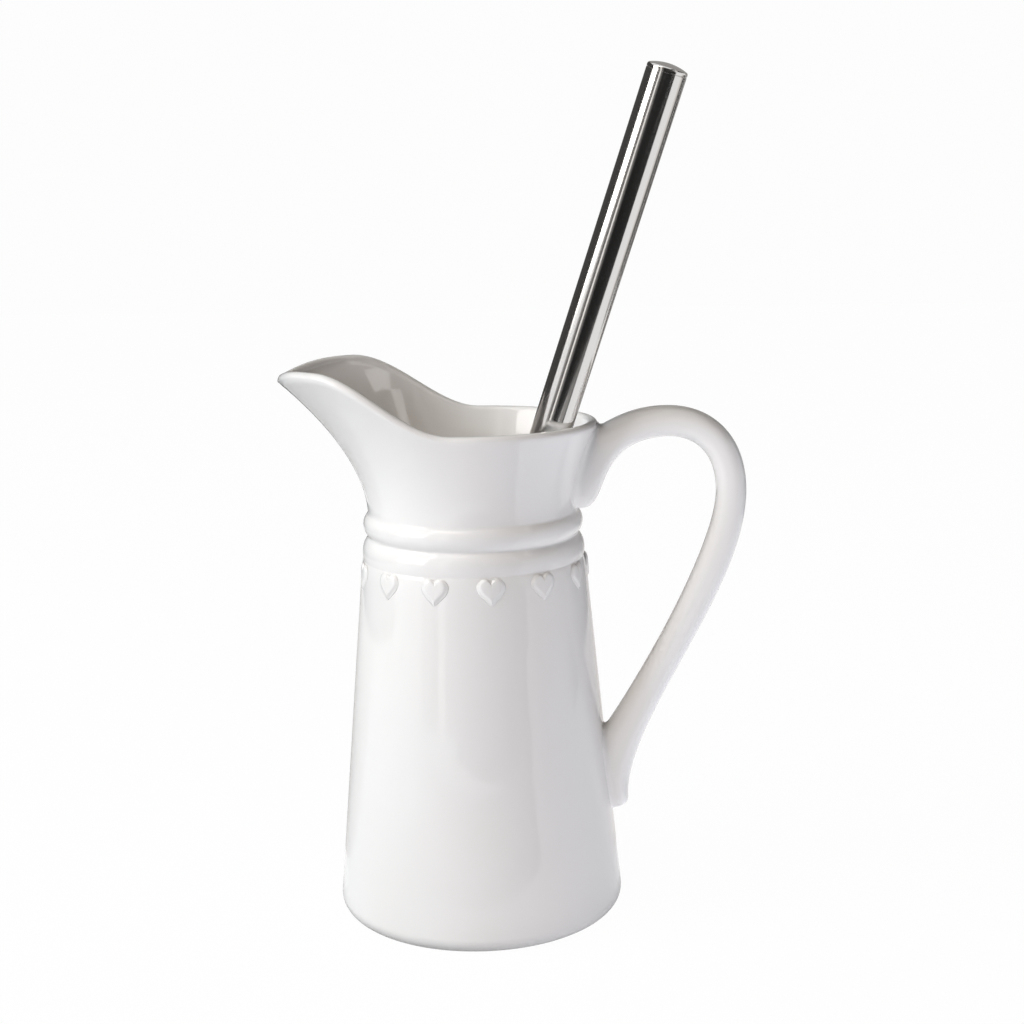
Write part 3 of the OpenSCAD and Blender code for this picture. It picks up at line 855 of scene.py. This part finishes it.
def tuft_mesh(brush, draw):
    """A tuft of strands along +Z."""
    bm = bmesh.new()
    for _ in range(brush.tuft_strands):
        join(bm, strand_form(brush, draw))
    return to_mesh(bm, "tuft")


def tuft_places(brush, draw):
    """A matrix for each tuft, in staggered rows."""
    centre = core_places(brush)[-1]
    bare = radians(14)
    round_run = brush.core_radius * (pi / 2 - bare)
    run = round_run + brush.head_straight
    for row in range(brush.tuft_rows):
        along = run * (row + 0.5) / brush.tuft_rows
        rise = min(0.0, bare - pi / 2 + along / brush.core_radius)
        up = max(0.0, along - round_run)
        for column in range(brush.tuft_columns):
            plan = FULL_TURN * (column + 0.5 * (row % 2)) / brush.tuft_columns
            out = around(plan, cos(rise), sin(rise))
            place = out * brush.core_radius + UP * (centre + up)
            turn = Matrix.Rotation(draw.uniform(0, FULL_TURN), 4, "Z")
            yield Matrix.Translation(place) @ out.to_track_quat("Z", "Y").to_matrix().to_4x4() @ turn


def bristle_form(brush):
    """All the tufts of the head."""
    draw = random.Random(7)
    tufts = [tuft_mesh(brush, draw) for _ in range(6)]
    bm = bmesh.new()
    for matrix in tuft_places(brush, draw):
        known = len(bm.verts)
        bm.from_mesh(draw.choice(tufts))
        bm.verts.ensure_lookup_table()
        bmesh.ops.transform(bm, matrix=matrix, verts=bm.verts[known:])
    for mesh in tufts:
        bpy.data.meshes.remove(mesh)
    return bm


# Materials

DRIFT = "Slow drift"
UNIT = (0, 1)
# Numbers of a Mix node's sockets: first input, second input and result
MIX_SOCKETS = {"FLOAT": (2, 3, 0), "RGBA": (6, 7, 2)}
# Heights between which the glaze ends at the foot, and how rough the bare clay is
GLAZE_END = (0.9 * MM, 0.3 * MM)
BISCUIT_ROUGH = 0.85
GLAZE_IOR = 1.52
NYLON_DEPTH = (1.0 * MM, 1.0 * MM, 0.9 * MM)


def rgba(tint):
    """A colour as a node's input takes it."""
    return (*tint, 1.0)


class Tree:
    """A node tree, with short ways to add what most finishes need."""

    def __init__(self, tree):
        self.nodes = tree.nodes
        self.link = tree.links.new

    def feed(self, node, inputs):
        """Sets a node's inputs, by title or number, or joins them to sockets."""
        for title, value in inputs.items():
            if isinstance(value, bpy.types.NodeSocket):
                self.link(value, node.inputs[title])
            else:
                node.inputs[title].default_value = value
        return node

    def node(self, kind, inputs=None, **settings):
        """Adds a shader node with its settings and inputs."""
        node = self.nodes.new("ShaderNode" + kind)
        for title, value in settings.items():
            setattr(node, title, value)
        return self.feed(node, inputs or {})

    def maths(self, operation, first, second, limited=False):
        """Two numbers put together, and held between 0 and 1 if limited."""
        return self.node("Math", {0: first, 1: second}, operation=operation, use_clamp=limited).outputs[0]

    def ramp(self, value, start, end):
        """Maps a value from one span to another."""
        spans = {"From Min": start[0], "From Max": start[1], "To Min": end[0], "To Max": end[1]}
        return self.node("MapRange", {"Value": value, **spans}).outputs["Result"]

    def blend(self, share, low, high, kind="RGBA"):
        """A colour, or a number, that goes from low to high with a share."""
        first, second, result = MIX_SOCKETS[kind]
        return self.node("Mix", {"Factor": share, first: low, second: high}, data_type=kind).outputs[result]


def drift_group():
    """Slow, cloudy change over a surface, from 0 to 1."""
    if DRIFT in bpy.data.node_groups:
        return bpy.data.node_groups[DRIFT]
    group = bpy.data.node_groups.new(DRIFT, "ShaderNodeTree")
    group.interface.new_socket("Vector", in_out="INPUT", socket_type="NodeSocketVector")
    for title, value in (("Scale", 20.0), ("Contrast", 1.0)):
        socket = group.interface.new_socket(title, in_out="INPUT", socket_type="NodeSocketFloat")
        socket.default_value = value
    group.interface.new_socket("Drift", in_out="OUTPUT", socket_type="NodeSocketFloat")
    tree = Tree(group)
    given = group.nodes.new("NodeGroupInput").outputs
    noise = tree.node("TexNoise", {"Vector": given["Vector"], "Scale": given["Scale"],
                                   "Detail": 2.0, "Roughness": 0.4})
    centred = tree.maths("SUBTRACT", noise.outputs["Fac"], 0.5)
    gained = tree.maths("MULTIPLY", centred, given["Contrast"])
    drift = tree.maths("ADD", gained, 0.5, limited=True)
    tree.feed(group.nodes.new("NodeGroupOutput"), {"Drift": drift})
    return group


class Finish(Tree):
    """A material under construction."""

    def __init__(self, name, roughness, metallic=0.0):
        self.material = bpy.data.materials.new(name)
        self.material.use_nodes = True
        super().__init__(self.material.node_tree)
        self.shader = self.nodes["Principled BSDF"]
        self.feed(self.shader, {"Roughness": roughness, "Metallic": metallic})
        self.place = self.node("TexCoord").outputs["Object"]

    def drift(self, scale, contrast, vector=None):
        """The slow drift at a scale, in waves for each metre."""
        inputs = {"Scale": scale, "Contrast": contrast, "Vector": vector or self.place}
        return self.node("Group", inputs, node_tree=drift_group()).outputs["Drift"]

    def axis(self, name):
        """One of the object's coordinates."""
        return self.node("SeparateXYZ", {"Vector": self.place}).outputs[name]

    def along_brush(self, stretch):
        """Object coordinates turned to the brush's axis and drawn out along it."""
        turned_back = UP.rotation_difference(BRUSH_AXIS).inverted().to_euler()
        turn = self.node("Mapping", {"Vector": self.place, "Rotation": turned_back})
        draw = self.node("Mapping", {"Vector": turn.outputs["Vector"], "Scale": (1, 1, 1 / stretch)})
        return draw.outputs["Vector"]

    def paint(self, patches, tint, dim, spots, gloss):
        """Dims the tint in patches and changes the roughness in spots, over a span of gloss."""
        dull = [value * dim for value in tint]
        self.feed(self.shader, {"Base Color": self.blend(patches, rgba(tint), rgba(dull)),
                                "Roughness": self.ramp(spots, UNIT, gloss)})

    def bump(self, height, distance, strength):
        """Raises the surface by a height in shares of a distance."""
        node = self.node("Bump", {"Height": height, "Distance": distance, "Strength": strength})
        self.feed(self.shader, {"Normal": node.outputs["Normal"]})

    def show(self, shader):
        """Makes a shader the surface."""
        self.feed(self.nodes["Material Output"], {"Surface": shader.outputs[0]})


def glaze_finish(colours):
    """White glaze: a wet gloss with a slow ripple, thinner and warmer in places, bare under the foot."""
    finish = Finish("white_glaze", roughness=0.08)
    bare = finish.ramp(finish.axis("Z"), GLAZE_END, UNIT)
    body = finish.blend(finish.drift(14, 1.6), rgba(colours.glaze), rgba(colours.glaze_thin))
    gloss = finish.ramp(finish.drift(60, 1.5), UNIT, (0.025, 0.055))
    finish.feed(finish.shader, {
        "IOR": GLAZE_IOR, "Base Color": finish.blend(bare, body, rgba(colours.biscuit)),
        "Roughness": finish.blend(bare, gloss, BISCUIT_ROUGH, "FLOAT")})
    finish.bump(finish.drift(26, 1.0), distance=0.5 * MM, strength=0.5)
    return finish.material


def steel_finish(colours):
    """Mirror-polished tube: faint lines along it and a film of smudges."""
    finish = Finish("mirror_steel", roughness=0.12, metallic=1.0)
    lines = finish.drift(900, 1.5, finish.along_brush(60))
    finish.paint(lines, colours.steel, 0.975, finish.drift(70, 2.5), gloss=(0.112, 0.128))
    finish.bump(lines, distance=0.01 * MM, strength=0.05)
    return finish.material


def moulded_finish(name, tint, roughness):
    """Moulded plastic: a fine spark-eroded grain and a slight drift of colour."""
    finish = Finish(name, roughness)
    gloss = (roughness - 0.06, roughness + 0.08)
    finish.paint(finish.drift(55, 1.5), tint, 0.93, finish.drift(300, 1.5), gloss)
    finish.bump(finish.drift(2200, 1.2), distance=0.03 * MM, strength=0.5)
    return finish.material


def zinc_finish(colours):
    """Zinc plate: a bright grey with cloudy patches."""
    finish = Finish("zinc_plate", roughness=0.3, metallic=1.0)
    finish.paint(finish.drift(180, 2.5), colours.zinc, 0.75, finish.drift(400, 2.0), gloss=(0.22, 0.42))
    return finish.material


def nylon_finish(colours):
    """Nylon strands: milky, with a soft shine."""
    finish = Finish("nylon_strand", roughness=0.38)
    finish.paint(finish.drift(240, 2.2), colours.nylon, 0.88, finish.drift(500, 1.5), gloss=(0.32, 0.46))
    finish.feed(finish.shader, {"Subsurface Weight": 0.15, "Subsurface Radius": NYLON_DEPTH})
    return finish.material


# Operators

def glaze_of(scene):
    """The jug's one glaze, made on its first use."""
    return bpy.data.materials.get("white_glaze") or glaze_finish(scene.jug_finishes)


class JUGSET_OT_body(Operator):
    """Adds the jug's body, with its beads, flared neck and spout"""

    bl_idname = "jugset.body"
    bl_label = "Jug Body"

    def execute(self, context):
        scene = context.scene
        finish_piece(jug_form(scene.jug_sizes), "glazed_body", glaze_of(scene), "jug", ["jug_body"])
        return {"FINISHED"}


class JUGSET_OT_handle(Operator):
    """Adds the loop handle, luted to the neck and to the cone"""

    bl_idname = "jugset.handle"
    bl_label = "Loop Handle"

    def execute(self, context):
        scene = context.scene
        form = handle_form(scene.jug_sizes)
        finish_piece(form, "luted_handle", glaze_of(scene), "jug", ["jug_handle"])
        return {"FINISHED"}


class JUGSET_OT_hearts(Operator):
    """Adds the row of raised hearts under the beads"""

    bl_idname = "jugset.hearts"
    bl_label = "Raised Hearts"

    def execute(self, context):
        scene = context.scene
        form = hearts_form(scene.jug_sizes)
        finish_piece(form, "raised_hearts", glaze_of(scene), "jug", ["heart_sprigs"])
        return {"FINISHED"}


class JUGSET_OT_tube(Operator):
    """Adds the brush's steel tube and its domed cap"""

    bl_idname = "jugset.tube"
    bl_label = "Tube and Cap"

    def execute(self, context):
        brush = context.scene.brush_sizes
        steel = steel_finish(context.scene.jug_finishes)
        finish_piece(on_brush(tube_form(brush)), "steel_tube", steel, "brush_handle",
                     ["brush_tube"], crisp=30)
        finish_piece(on_brush(cap_form(brush)), "domed_cap", steel, "brush_handle",
                     ["tube_cap"], crisp=40)
        return {"FINISHED"}


class JUGSET_OT_plug(Operator):
    """Adds the plug in the tube's lower end and the threaded stud in it"""

    bl_idname = "jugset.plug"
    bl_label = "Plug and Stud"

    def execute(self, context):
        brush = context.scene.brush_sizes
        colours = context.scene.jug_finishes
        plug = moulded_finish("plug_plastic", colours.plug, roughness=0.45)
        finish_piece(on_brush(plug_form(brush)), "collar_plug", plug, "brush_handle",
                     ["tube_plug"], crisp=35)
        zinc = zinc_finish(colours)
        finish_piece(on_brush(stud_form(brush)), "threaded_stud", zinc, "brush_handle",
                     ["head_stud"], crisp=35)
        return {"FINISHED"}


class JUGSET_OT_head(Operator):
    """Adds the brush's core and its bristles"""

    bl_idname = "jugset.head"
    bl_label = "Brush Head"

    def execute(self, context):
        brush = context.scene.brush_sizes
        colours = context.scene.jug_finishes
        core = moulded_finish("core_plastic", colours.core, roughness=0.4)
        finish_piece(on_brush(core_form(brush)), "moulded_core", core, "brush_head",
                     ["brush_core"], crisp=40)
        nylon = nylon_finish(colours)
        finish_piece(on_brush(bristle_form(brush)), "nylon_bristles", nylon, "brush_head",
                     ["bristle_tufts"])
        return {"FINISHED"}


# Studio

STUDIO_CENTRE = Vector((0, 0, 0.18))
CAMERA_PLAN = radians(-83)
CAMERA_AT = Vector((96.4, -785.1, 343)) * MM
CAMERA_HEADING = radians(5.67)
CAMERA_DIP = radians(10.85)
CAMERA_ROLL = radians(-1.16)
CAMERA_LENS = 60.2
SENSOR_WIDTH = 36.0
LAMP_DISTANCE = 2.2
WHITE = (1.0, 1.0, 1.0)
BACKDROP = (0.98, 0.98, 0.98)
CARD_TINT = (1.0, 0.97, 0.94)
FLOOR_PAINT = (0.92, 0.92, 0.92)
FLOOR_HALF = 4
FLOOR_DROP = 0.1 * MM
# Span of x over which the floor's light sets in, and the light's share where it lights the object
FLOOR_EDGE = (-0.05, 0.05)
FLOOR_GLOW = 0.6
# Painted shadow round the foot: radii between which the floor's glow comes back round the foot, and what is
# left of it within them
FOOT_SHADE = (0.068, 0.085)
FOOT_LIGHT = 0.35


def studio_place(azimuth, elevation, distance):
    """A place round the centre; azimuth in degrees, to the camera's right."""
    plan = CAMERA_PLAN + radians(azimuth)
    rise = radians(elevation)
    return STUDIO_CENTRE + around(plan, cos(rise), sin(rise)) * distance


def seen_directly(tree):
    """1 for what the camera, a mirror or glass sees, and 0 for light on the object."""
    rays = tree.node("LightPath").outputs
    either = tree.maths("ADD", rays["Is Camera Ray"], rays["Is Glossy Ray"], limited=True)
    return tree.maths("ADD", either, rays["Is Transmission Ray"], limited=True)


def add_world(stage):
    """A white studio, lit from all round at the ambient level."""
    world = bpy.data.worlds.new("studio")
    world.use_nodes = True
    tree = Tree(world.node_tree)
    ambient = tree.feed(tree.nodes["Background"], {"Color": rgba(stage.ambient)})
    white = tree.node("Background", {"Color": rgba(BACKDROP)})
    choose = tree.node("MixShader", {"Fac": seen_directly(tree), 1: ambient.outputs[0], 2: white.outputs[0]})
    tree.feed(tree.nodes["World Output"], {"Surface": choose.outputs[0]})
    bpy.context.scene.world = world


def painted_foot_shadow(finish):
    """A painted shadow round the foot: a share that dims the floor's glow there for all but the camera."""
    reach = finish.node("VectorMath", {0: finish.place}, operation="LENGTH")
    clear = finish.ramp(reach.outputs["Value"], FOOT_SHADE, (FOOT_LIGHT, 1))
    return finish.maths("MAXIMUM", clear, finish.node("LightPath").outputs["Is Camera Ray"])


def add_stage_mesh(bm, name, material, place):
    """Makes a form into an object of the stage."""
    mesh = to_mesh(bm, name)
    mesh.materials.append(material)
    item = bpy.data.objects.new(name, mesh)
    item.matrix_world = place
    bpy.context.scene.collection.objects.link(item)
    return item


def add_floor(stage):
    """A pale floor that is seen almost white, lights the object from the right and keeps its shadow."""
    finish = Finish("pale_floor", roughness=0.9)
    finish.feed(finish.shader, {"Base Color": rgba(FLOOR_PAINT)})
    seen = seen_directly(finish)
    right = finish.ramp(finish.axis("X"), FLOOR_EDGE, (0, stage.floor_power))
    # The glow is dimmed round the foot, a painted shadow that mirrors and the object's bounce light see
    strength = finish.maths("MULTIPLY", finish.blend(seen, right, 1.0, "FLOAT"), painted_foot_shadow(finish))
    tint = finish.blend(seen, rgba(stage.floor_tint), rgba(WHITE))
    glow = finish.node("Emission", {"Color": tint, "Strength": strength})
    share = finish.ramp(seen, UNIT, (FLOOR_GLOW, stage.floor_white))
    finish.show(finish.node("MixShader", {"Fac": share, 1: finish.shader.outputs[0], 2: glow.outputs[0]}))
    bm = bmesh.new()
    bmesh.ops.create_grid(bm, x_segments=1, y_segments=1, size=FLOOR_HALF)
    add_stage_mesh(bm, "studio_floor", finish.material, Matrix.Translation(-UP * FLOOR_DROP))


def unit_card(shades, along):
    """A card one metre wide whose shade goes from start to end along x (0) or y (1)."""
    bm = bmesh.new()
    bmesh.ops.create_grid(bm, x_segments=1, y_segments=1, size=0.5)
    shade = bm.verts.layers.float.new("shade")
    for vert in bm.verts:
        vert[shade] = mix(*shades, vert.co[along] + 0.5)
    return bm


def add_card(bm, name, place):
    """Makes a card glow with its shade and hides it from all but mirrors."""
    finish = Finish(name, roughness=1.0)
    shade = finish.node("Attribute", attribute_name="shade").outputs["Fac"]
    finish.show(finish.node("Emission", {"Color": rgba(CARD_TINT), "Strength": shade}))
    card = add_stage_mesh(bm, name, finish.material, place)
    card.visible_camera = False
    card.visible_diffuse = False
    card.visible_transmission = False
    card.visible_shadow = False


def add_flag(name, shades, sector, heights, distance):
    """An upright card between two azimuths."""
    low, high = heights
    bm = unit_card(shades, 0)
    width = 2 * distance * tan(radians(sector[1] - sector[0]) / 2)
    bmesh.ops.scale(bm, vec=(width, high - low, 1), verts=bm.verts)
    foot = studio_place(sum(sector) / 2, 0, distance)
    place = Vector((foot.x, foot.y, (low + high) / 2))
    turn = (UP * place.z - place).to_track_quat("-Z", "Y")
    add_card(bm, name, Matrix.Translation(place) @ turn.to_matrix().to_4x4())


def add_mat(name, shades, sector, reach):
    """A wedge on the floor between two azimuths."""
    bm = unit_card(shades, 1)
    spread = tan(radians(sector[1] - sector[0]) / 2)
    for vert in bm.verts:
        distance = mix(*reach, vert.co.x + 0.5)
        vert.co = (distance, 2 * vert.co.y * distance * spread, MM)
    add_card(bm, name, Matrix.Rotation(CAMERA_PLAN + radians(sum(sector)) / 2, 4, "Z"))


def add_lamp(name, azimuth, elevation, size, power, tint, mirrored):
    """A soft lamp aimed at the centre; mirrored says if polished surfaces show it."""
    data = bpy.data.lights.new(name, "AREA")
    data.shape = "RECTANGLE"
    data.size, data.size_y = size
    data.energy = power
    data.color = tint
    lamp = bpy.data.objects.new(name, data)
    lamp.location = studio_place(azimuth, elevation, LAMP_DISTANCE)
    lamp.rotation_mode = "QUATERNION"
    lamp.rotation_quaternion = (STUDIO_CENTRE - lamp.location).to_track_quat("-Z", "Y")
    lamp.visible_glossy = mirrored
    bpy.context.scene.collection.objects.link(lamp)


def add_camera():
    """The camera."""
    data = bpy.data.cameras.new("camera")
    data.lens = CAMERA_LENS
    data.sensor_width = SENSOR_WIDTH
    camera = bpy.data.objects.new("camera", data)
    turn = (Matrix.Rotation(CAMERA_HEADING, 4, "Z")
            @ Matrix.Rotation(pi / 2 - CAMERA_DIP, 4, "X")
            @ Matrix.Rotation(CAMERA_ROLL, 4, "Z"))
    camera.matrix_world = Matrix.Translation(CAMERA_AT) @ turn
    bpy.context.scene.collection.objects.link(camera)
    bpy.context.scene.camera = camera


# Shades at both ends and azimuths, then heights and distance of a flag, or near and far reach of a mat
CARDS = (
    (add_flag, "key_card", (4.0, 6.0), (-93, -50), (0.55, 1.65), 2.0),
    (add_flag, "window_high", (2.6, 2.6), (71, 79), (1.39, 1.71), 1.2),
    (add_flag, "window_low", (2.6, 2.6), (64.5, 71), (0.95, 1.39), 1.2),
    (add_flag, "camera_flag", (0.003, 0.1), (-26, 45), (0.22, 2.4), 1.2),
    (add_flag, "low_flag", (0.01, 0.03), (-26, 50), (0, 0.22), 1.2),
    (add_mat, "camera_mat", (0.01, 0.03), (-18, 46), (0.56, 1.2)),
    (add_mat, "front_mat", (0.95, 0.02), (-50, 44), (0.16, 0.5)),
    (add_flag, "dusk_flag", (0.3, 0.03), (-28, -15), (0, 1.3), 0.8),
    (add_flag, "grey_strip", (1.4, 1.1), (-35, -28), (0, 1.3), 0.8),
    (add_flag, "thin_flag", (0.45, 0.02), (-52, -35), (0, 1.3), 0.8),
    (add_flag, "left_flag", (0.08, 0.05), (-180, -84), (0, 1.2), 0.8),
    (add_flag, "high_flag", (0.1, 0.1), (50, 118), (0.9, 3.2), 1.5),
    (add_flag, "back_flag", (0.35, 0.35), (118, 242), (0, 3.0), 1.6),
    (add_mat, "left_mat", (0.45, 0.7), (-178, -112), (0.1, 0.8)),
    (add_mat, "right_mat", (1.0, 0.2), (112, 178), (0.1, 1.5)),
    (add_mat, "side_mat", (0.95, 0.06), (86, 106), (0.62, 2.2)),
    (add_mat, "corner_mat", (0.06, 0.03), (106, 150), (0.72, 2.2)),
)


class JUGSET_OT_stage(Operator):
    """Adds the floor, the soft lamps, the cards and the camera"""

    bl_idname = "jugset.stage"
    bl_label = "Studio"

    def execute(self, context):
        stage = context.scene.jug_stage
        context.scene.view_settings.view_transform = "Standard"
        add_camera()
        add_world(stage)
        add_floor(stage)
        add_lamp("key_lamp", azimuth=-74, elevation=25, size=(1.35, 1.0), power=stage.key_power,
                 tint=stage.key_tint, mirrored=False)
        add_lamp("front_lamp", azimuth=-35, elevation=45, size=(1.2, 1.2), power=stage.front_power,
                 tint=stage.front_tint, mirrored=True)
        for add, *values in CARDS:
            add(*values)
        return {"FINISHED"}


PIECES = (JUGSET_OT_body, JUGSET_OT_handle, JUGSET_OT_hearts, JUGSET_OT_tube, JUGSET_OT_plug,
          JUGSET_OT_head, JUGSET_OT_stage)


class JUGSET_PT_panel(Panel):
    """Lists the pieces of the jug set and its sizes"""

    bl_idname = "JUGSET_PT_panel"
    bl_label = "Jug Set"
    bl_space_type = "VIEW_3D"
    bl_region_type = "UI"
    bl_category = "Jug Set"

    def draw(self, context):
        for operator in PIECES:
            self.layout.operator(operator.bl_idname)
        for group in SETTINGS:
            box = self.layout.box()
            for title in SETTINGS[group].__annotations__:
                box.prop(getattr(context.scene, group), title)


SETTINGS = {"jug_sizes": JugSizes, "brush_sizes": BrushSizes, "jug_finishes": Finishes,
            "jug_stage": StageSettings}


def register():
    """Registers the settings, the operators and the panel."""
    for title, group in SETTINGS.items():
        bpy.utils.register_class(group)
        setattr(bpy.types.Scene, title, PointerProperty(type=group))
    for item in (*PIECES, JUGSET_PT_panel):
        bpy.utils.register_class(item)


def unregister():
    """Takes the panel, the operators and the settings away again."""
    for item in (JUGSET_PT_panel, *reversed(PIECES)):
        bpy.utils.unregister_class(item)
    for title, group in SETTINGS.items():
        delattr(bpy.types.Scene, title)
        bpy.utils.unregister_class(group)


def main():
    """Registers the classes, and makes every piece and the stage."""
    register()
    for operator in PIECES:
        family, action = operator.bl_idname.split(".")
        getattr(getattr(bpy.ops, family), action)()


if __name__ == "__main__":
    main()
